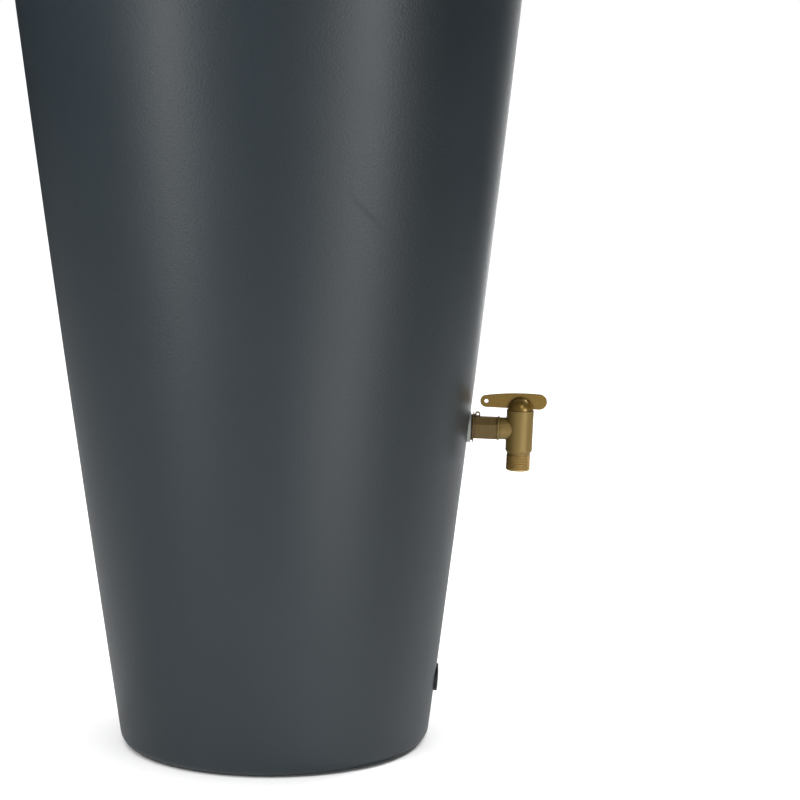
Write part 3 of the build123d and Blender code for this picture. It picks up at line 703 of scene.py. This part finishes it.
def make_shell():
    shell = lathe("barrel_shell_moulding", shell_outline(), SHELL_SEGMENTS)
    for port, seat_radius, seat_depth in (
        (tap_port, TAP_SEAT_RADIUS, TAP_SEAT_DEPTH),
        (plug_port_matrix(), PLUG_SEAT_RADIUS, PLUG_SEAT_DEPTH),
    ):
        boss = port_disc("boss", port, PORT_BOSS_RADIUS, -PORT_BOSS_DEPTH, -PORT_BOSS_ROOT)
        boolean(shell, boss, "UNION")
        hole_start = -PORT_BOSS_DEPTH - CUT_PAST
        hole = port_disc("hole", port, PORT_HOLE_RADIUS, hole_start, PORT_HOLE_CUT_REACH)
        boolean(shell, hole, "DIFFERENCE")
        seat = port_disc("seat", port, seat_radius, -seat_depth, SEAT_CUT_REACH, segments=96)
        boolean(shell, seat, "DIFFERENCE")
    smooth(shell, angle=30)
    finish(shell, "barrel_plastic")
    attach(shell, "barrel")
    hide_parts("barrel_shell")
    return shell


# ---- lid ----
def lid_outline():
    """Corners of the strainer's seat, collar, deck, step, band, skirt and underside."""
    return rounded(
        [
            (SEAT_RADIUS - SEAT_LEDGE_WIDTH, STRAINER_SEAT - LID_WALL, 0.6),
            (SEAT_RADIUS - SEAT_LEDGE_WIDTH, STRAINER_SEAT, 0.6),
            (SEAT_RADIUS, STRAINER_SEAT, 0.5),
            (SEAT_RADIUS, DECK_CENTRE + LID_WALL / 2, 1.0),
            (COLLAR_RADIUS, DECK_CENTRE + LID_WALL / 2, 1.0),
            (COLLAR_RADIUS + LID_WALL / 2, DECK_CENTRE, 0.6),
            *deck_rows(),
            (DECK_RADIUS, DECK_EDGE, 2.5),
            (DECK_RADIUS + LID_STEP, LID_BAND_TOP, 2.0),
            (LID_RADIUS, LID_BAND_TOP, 2.9),
            (LID_RADIUS, LID_SKIRT_FOOT, 0.8),
            (LID_RADIUS - LID_WALL, LID_SKIRT_FOOT, 0.8),
            (LID_RADIUS - LID_WALL, LID_UNDERSIDE, 1.0),
            (DECK_RADIUS + LID_STEP - LID_WALL, LID_UNDERSIDE, 1.0),
            (DECK_RADIUS - LID_WALL / 2, DECK_EDGE - LID_WALL, 1.5),
            (COLLAR_RADIUS, STRAINER_SEAT - LID_WALL, 1.0),
        ],
        closed=True,
    )


def deck_rows():
    """Points along the deck's slope, which give the flutes something to bend."""
    inner = COLLAR_RADIUS + LID_WALL / 2
    rows = []
    for number in range(1, DECK_ROWS):
        share = number / DECK_ROWS
        rows.append((inner + (DECK_RADIUS - inner) * share, DECK_CENTRE - LID_RISE * share, 0))
    return rows


def press_flutes(lid):
    """Sink a shallow flute into the deck over each rib."""
    inner = COLLAR_RADIUS + FLUTE_END_GAP
    outer = DECK_RADIUS - FLUTE_END_GAP
    for vertex in lid.data.vertices:
        radius = math.hypot(vertex.co.x, vertex.co.y) / MM
        height = vertex.co.z / MM
        share = (radius - COLLAR_RADIUS) / (DECK_RADIUS - COLLAR_RADIUS)
        on_top = height > DECK_CENTRE - LID_RISE * share - DECK_SKIN
        if not on_top or not inner < radius < outer:
            continue
        turn = math.atan2(vertex.co.y, vertex.co.x) * LID_RIB_COUNT / (2 * math.pi)
        off_rib = abs(turn - round(turn)) * 2 * math.pi * radius / LID_RIB_COUNT
        if off_rib < FLUTE_WIDTH:
            from_end = min(radius - inner, outer - radius)
            end_fade = min(1.0, from_end / FLUTE_END_FADE)
            side_fade = (1 + math.cos(math.pi * off_rib / FLUTE_WIDTH)) / 2
            vertex.co.z -= FLUTE_DEPTH * end_fade * side_fade * MM


def make_lid_rib(number):
    """One radial rib under the deck, deepest at the collar."""
    inner = COLLAR_RADIUS - WELD
    outer = DECK_RADIUS - LID_RIB_END_GAP
    under_seat = STRAINER_SEAT - LID_WALL
    under_step = DECK_EDGE - LID_WALL
    outline = [
        (inner, under_seat + WELD),
        (inner, under_seat - LID_RIB_INNER_DEPTH),
        (outer, under_step - LID_RIB_OUTER_DEPTH),
        (outer, under_step + WELD),
    ]
    upright = Matrix.Rotation(math.pi / 2, 4, "X")
    turn = Matrix.Rotation(2 * math.pi * number / LID_RIB_COUNT, 4, "Z")
    rib = prism("rib", outline, -LID_RIB_WIDTH / 2, LID_RIB_WIDTH / 2, turn @ upright)
    bevel(rib, LID_RIB_ROUNDING)
    return rib


def make_grip_tab(side):
    """Finger tab at the skirt's foot, towards +Y or -Y."""
    root = LID_RADIUS - LID_WALL / 2 - WELD
    reach = LID_RADIUS + GRIP_TAB_REACH
    half = GRIP_TAB_WIDTH / 2
    outline = rounded(
        [
            (-half, side * root, 0),
            (-half, side * reach, GRIP_TAB_CORNER),
            (half, side * reach, GRIP_TAB_CORNER),
            (half, side * root, 0),
        ]
    )
    tab = prism("tab", outline, LID_SKIRT_FOOT, LID_SKIRT_FOOT + GRIP_TAB_THICKNESS)
    bevel(tab, GRIP_TAB_ROUNDING, segments=3, angle=60)
    return tab


def make_lid():
    plate = lathe("plate", lid_outline(), LID_SEGMENTS)
    press_flutes(plate)
    ribs = [make_lid_rib(number) for number in range(LID_RIB_COUNT)]
    tabs = [make_grip_tab(side) for side in (1, -1)]
    lid = join("lid_moulding", [plate, *ribs, *tabs])
    smooth(lid)
    finish(lid, "barrel_plastic")
    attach(lid, "lid")
    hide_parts("lid")


# ---- leaf strainer ----
def strainer_outline():
    """Corners from under the basket's floor, up the outside, over the flange and inside."""
    top = STRAINER_REST + STRAINER_FLANGE
    floor_top = STRAINER_FOOT + STRAINER_WALL
    return rounded(
        [
            (0, STRAINER_FOOT, 0),
            (STRAINER_FLOOR_RADIUS, STRAINER_FOOT, 1.2),
            (STRAINER_TOP_RADIUS, STRAINER_REST, 0.8),
            (STRAINER_FLANGE_RADIUS, STRAINER_REST, 0.6),
            (STRAINER_FLANGE_RADIUS, top, 1.2),
            (STRAINER_TOP_RADIUS - STRAINER_WALL, top, 1.2),
            (STRAINER_FLOOR_RADIUS - STRAINER_WALL, floor_top, 1.2),
            (0, floor_top, 0),
        ],
        steps=4,
    )


def side_slot(number):
    """Cutter with round ends for one slot in the basket's side."""
    half_width = SIDE_SLOT_WIDTH / 2
    low = STRAINER_FOOT + SIDE_SLOT_MIDDLE - SIDE_SLOT_HEIGHT / 2
    high = low + SIDE_SLOT_HEIGHT
    ends = half_width * SIDE_SLOT_END_SHARE
    outline = rounded(
        [
            (-half_width, low, ends),
            (half_width, low, ends),
            (half_width, high, ends),
            (-half_width, high, ends),
        ],
        closed=True,
    )
    face_out = Matrix.Rotation(math.pi / 2, 4, "Z") @ Matrix.Rotation(math.pi / 2, 4, "X")
    turn = Matrix.Rotation(2 * math.pi * number / SIDE_SLOT_COUNT, 4, "Z")
    return prism("slot", outline, SIDE_SLOT_CUT_INNER, SIDE_SLOT_CUT_OUTER, turn @ face_out)


def floor_window(number):
    """Cutter for one of the openings between the floor's spokes."""
    half_spoke = FLOOR_SPOKE_WIDTH / 2
    sector = 2 * math.pi / FLOOR_SPOKE_COUNT
    outline = []
    for radius, order in ((FLOOR_HUB_RADIUS, 1), (FLOOR_HOLE_RADIUS, -1)):
        edge = math.asin(half_spoke / radius)
        shares = [step / FLOOR_WINDOW_STEPS for step in range(FLOOR_WINDOW_STEPS + 1)]
        arc = [edge + (sector - 2 * edge) * share for share in shares]
        outline += [(radius * math.cos(a), radius * math.sin(a)) for a in arc[::order]]
    low = STRAINER_FOOT - CUT_PAST
    high = STRAINER_FOOT + STRAINER_WALL + CUT_PAST
    turn = Matrix.Rotation(sector * number, 4, "Z")
    return prism("window", outline, low, high, turn)


def make_strainer():
    basket = lathe("leaf_basket", strainer_outline(), STRAINER_SEGMENTS, closed=False)
    slots = join("slots", [side_slot(number) for number in range(SIDE_SLOT_COUNT)])
    boolean(basket, slots, "DIFFERENCE")
    windows = join("windows", [floor_window(number) for number in range(FLOOR_SPOKE_COUNT)])
    boolean(basket, windows, "DIFFERENCE")
    smooth(basket, angle=30)
    finish(basket, "black_plastic")
    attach(basket, "strainer")
    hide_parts("leaf_strainer")


def wire_points(number, direction):
    """Points of one wire, along x or y, which waves over and under the wires it crosses."""
    offset = number * WIRE_PITCH
    half_length = math.sqrt(SCREEN_REACH**2 - offset**2)
    crossings = int(half_length / WIRE_PITCH)
    points = []
    for step in range(-2 * crossings, 2 * crossings + 1):
        wave = math.sin(math.pi * (step / 2 + number + direction + 0.5)) * WIRE_WAVE
        place = [step * WIRE_PITCH / 2, offset]
        x = place[direction]
        y = place[1 - direction]
        points.append((x * MM, y * MM, (SCREEN_MIDDLE + wave) * MM, 1))
    return points


def make_woven_wires():
    curve = bpy.data.curves.new("wires", "CURVE")
    curve.dimensions = "3D"
    curve.bevel_depth = WIRE_RADIUS * MM
    curve.bevel_resolution = 1
    wires = int(SCREEN_REACH / WIRE_PITCH)
    for number in range(-wires, wires + 1):
        for direction in (0, 1):
            points = wire_points(number, direction)
            spline = curve.splines.new("POLY")
            spline.points.add(len(points) - 1)
            spline.points.foreach_set("co", [value for point in points for value in point])
    drawn = new_object("wires", curve)
    woven = new_object("woven", evaluated_mesh(drawn))
    bpy.data.objects.remove(drawn)
    return woven


def make_screen():
    """Plain-woven wire screen with a flat rim, on the basket's floor."""
    rim_outline = rounded(
        [
            (SCREEN_RADIUS - SCREEN_RIM, SCREEN_LOW, SCREEN_RIM_ROUNDING),
            (SCREEN_RADIUS, SCREEN_LOW, SCREEN_RIM_ROUNDING),
            (SCREEN_RADIUS, SCREEN_HIGH, SCREEN_RIM_ROUNDING),
            (SCREEN_RADIUS - SCREEN_RIM, SCREEN_HIGH, SCREEN_RIM_ROUNDING),
        ],
        closed=True,
        steps=2,
    )
    rim = lathe("screen_rim", rim_outline, SCREEN_SEGMENTS)
    screen = join("screen_woven", [make_woven_wires(), rim])
    smooth(screen, angle=50)
    finish(screen, "steel_mesh")
    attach(screen, "strainer")
    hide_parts("strainer_screen")


# ---- camera, lights and floor ----
CAMERA_AZIMUTH = -85.5       # degrees round the barrel, the tap being at 0
CAMERA_DISTANCE = 3.0
CAMERA_HEIGHT = 0.8414
CAMERA_YAW = 2.671           # degrees that it looks to the right of the barrel's axis
CAMERA_PITCH = 8.778         # degrees that it looks down
CAMERA_LENS = 124.48         # mm, as is the sensor's width
CAMERA_SENSOR = 36.0
CAMERA_FAR = 300.0


def around(azimuth, distance, height):
    """Point at an azimuth in degrees, a distance from the barrel's axis and a height."""
    turn = math.radians(azimuth)
    return Vector((distance * math.cos(turn), distance * math.sin(turn), height))


def make_camera():
    data = bpy.data.cameras.new("camera")
    data.lens = CAMERA_LENS
    data.sensor_width = CAMERA_SENSOR
    data.clip_end = CAMERA_FAR
    camera = new_object("camera", data)
    camera.location = around(CAMERA_AZIMUTH, CAMERA_DISTANCE, CAMERA_HEIGHT)
    heading = math.radians(CAMERA_AZIMUTH + 180 - CAMERA_YAW)
    pitch = math.radians(CAMERA_PITCH)
    forward = Vector(
        (
            math.cos(heading) * math.cos(pitch),
            math.sin(heading) * math.cos(pitch),
            -math.sin(pitch),
        )
    )
    camera.rotation_euler = forward.to_track_quat("-Z", "Y").to_euler()
    bpy.context.scene.camera = camera


SOFTBOXES = (                # name, degrees right of the camera, distance, width, foot, top (m), watts
    ("key_low", 45, 2.5, 0.7, 0.02, 0.75, 13.6),
    ("key_low_inner", 30, 2.5, 0.7, 0.02, 0.75, 2.3),
    ("key_floor", 30, 1.4, 0.5, 0.02, 0.4, 0.35),
    ("key_foot", 28, 0.8, 0.4, 0.02, 0.25, 0.4),
    ("fill_left_low", -45, 2.5, 0.7, 0.02, 0.75, 11.8),
    ("fill_left_high", -45, 2.5, 0.7, 1.6, 2.8, 71.0),
    ("rim_high", 125, 2.5, 0.7, 1.6, 2.8, 81.0),
    ("rim_back_mid", 150, 2.5, 0.7, 0.75, 1.6, 1.7),
    ("rim_back_low", 150, 2.5, 0.7, 0.02, 0.75, 1.9),
)
EDGE_LIGHTS = (              # the same columns; these fall on the wall and the floor only
    ("edge_floor", 174, 2.5, 0.35, 0.02, 0.35, 28.0),
    ("edge_low", 160, 2.5, 0.35, 0.02, 0.35, 1.9),
    ("edge_mid", 160, 2.5, 0.35, 0.35, 0.8, 1.7),
    ("edge_high", 174, 2.5, 0.35, 0.8, 1.5, 18.0),
)
SHEET_LIGHT = 4.4            # sun strength that burns the camera's view of the floor out to white
SHEET_LIGHT_SOFTNESS = 70.0  # degrees
FLOOR_RADIUS = 40000.0
FLOOR_LEVEL = -0.4           # mm, both floors lie just under the foot
FLOOR_SEEN_LEVEL = -0.2
TAP_LIGHT_TURN = 20          # degrees right of the camera
TAP_LIGHT_DISTANCE = 2.0
TAP_LIGHT_HEIGHT = 1.6
TAP_LIGHT_SIZE = 0.6
TAP_LIGHT_POWER = 8.0
FLOOR_PATCH_TURN = -3        # degrees right of the camera
FLOOR_PATCH_DISTANCE = 0.5
FLOOR_PATCH_HEIGHT = 0.45
FLOOR_PATCH_SIZE = 0.5
FLOOR_PATCH_POWER = 0.9


def make_area_light(name, location, aim, width, length, power):
    data = bpy.data.lights.new(name, "AREA")
    data.shape = "RECTANGLE"
    data.size = width
    data.size_y = length
    data.energy = power
    lamp = new_object(name, data)
    lamp.location = location
    lamp.rotation_euler = (aim - location).to_track_quat("-Z", "Y").to_euler()
    lamp.visible_camera = False
    return lamp


def falls_only_on(lamp, pieces):
    """Let a lamp light these pieces and nothing else."""
    lit = bpy.data.collections.new(f"{lamp.name}_falls_on")
    for piece in pieces:
        lit.objects.link(piece)
    lamp.light_linking.receiver_collection = lit


def make_softbox(name, turn, distance, width, foot, top, power):
    """Upright softbox that faces the barrel's axis."""
    middle = (foot + top) / 2
    location = around(CAMERA_AZIMUTH + turn, distance, middle)
    return make_area_light(name, location, Vector((0, 0, middle)), width, top - foot, power)


def make_softboxes(shell, floor):
    for row in SOFTBOXES:
        make_softbox(*row)
    for row in EDGE_LIGHTS:
        falls_only_on(make_softbox(*row), [shell, floor])


def make_floor_patch(floor):
    """Light on the floor in front of the barrel, which the foot of the wall mirrors."""
    azimuth = CAMERA_AZIMUTH + FLOOR_PATCH_TURN
    location = around(azimuth, FLOOR_PATCH_DISTANCE, FLOOR_PATCH_HEIGHT)
    aim = around(azimuth, FLOOR_PATCH_DISTANCE, 0)
    size = FLOOR_PATCH_SIZE
    lamp = make_area_light("floor_patch", location, aim, size, size, FLOOR_PATCH_POWER)
    falls_only_on(lamp, [floor])


def make_tap_light():
    """Small softbox that falls on the tap's pieces only."""
    location = around(CAMERA_AZIMUTH + TAP_LIGHT_TURN, TAP_LIGHT_DISTANCE, TAP_LIGHT_HEIGHT)
    aim = tap_axis.translation
    size = TAP_LIGHT_SIZE
    lamp = make_area_light("tap_light", location, aim, size, size, TAP_LIGHT_POWER)
    names = ("tap_inlet_fitting", "tap_body", "tap_lever", "tap_seal")
    falls_only_on(lamp, [frame["nodes"][name] for name in names])


def make_world():
    """White behind everything, for the camera only."""
    world = bpy.data.worlds.new("studio")
    bpy.context.scene.world = world
    world.use_nodes = True
    background = world.node_tree.nodes["Background"]
    background.inputs["Color"].default_value = (1, 1, 1, 1)
    background.inputs["Strength"].default_value = 1.0
    world.cycles_visibility.diffuse = False
    world.cycles_visibility.glossy = False
    world.cycles_visibility.transmission = False
    world.cycles_visibility.scatter = False


def floor_disc(name, level, paint):
    floor = lathe(name, [(0, level), (FLOOR_RADIUS, level)], 96, closed=False)
    floor.data.materials.append(paint)
    return floor


def floor_paint():
    nodes = Nodes("pale_floor")
    cloud = nodes.noise(1.5, detail=3.0)
    tone = nodes.blend(cloud, "Fac", (0.86, 0.86, 0.86), (0.89, 0.89, 0.89))
    nodes.link(tone, "Result", nodes.shader, "Base Color")
    nodes.set("Roughness", 0.7)
    return nodes.material


def make_floor():
    """One pale floor that lights the barrel, and over it the same floor as the camera sees it."""
    paint = floor_paint()
    bounce = floor_disc("studio_floor", FLOOR_LEVEL, paint)
    bounce.visible_camera = False
    sheet = floor_disc("studio_floor_seen", FLOOR_SEEN_LEVEL, paint)
    sheet.visible_diffuse = False
    sheet.visible_glossy = False
    sheet.visible_shadow = False
    data = bpy.data.lights.new("floor_light", "SUN")
    data.energy = SHEET_LIGHT
    data.angle = math.radians(SHEET_LIGHT_SOFTNESS)
    lamp = new_object("floor_light", data)
    falls_only_on(lamp, [sheet])
    return bounce


def make_studio(shell):
    make_world()
    floor = make_floor()
    make_softboxes(shell, floor)
    make_floor_patch(floor)
    make_tap_light()
    bpy.context.scene.view_settings.view_transform = "Standard"


dress_cad_nodes()
barrel_wall = make_shell()
make_lid()
make_strainer()
make_screen()
make_camera()
make_studio(barrel_wall)
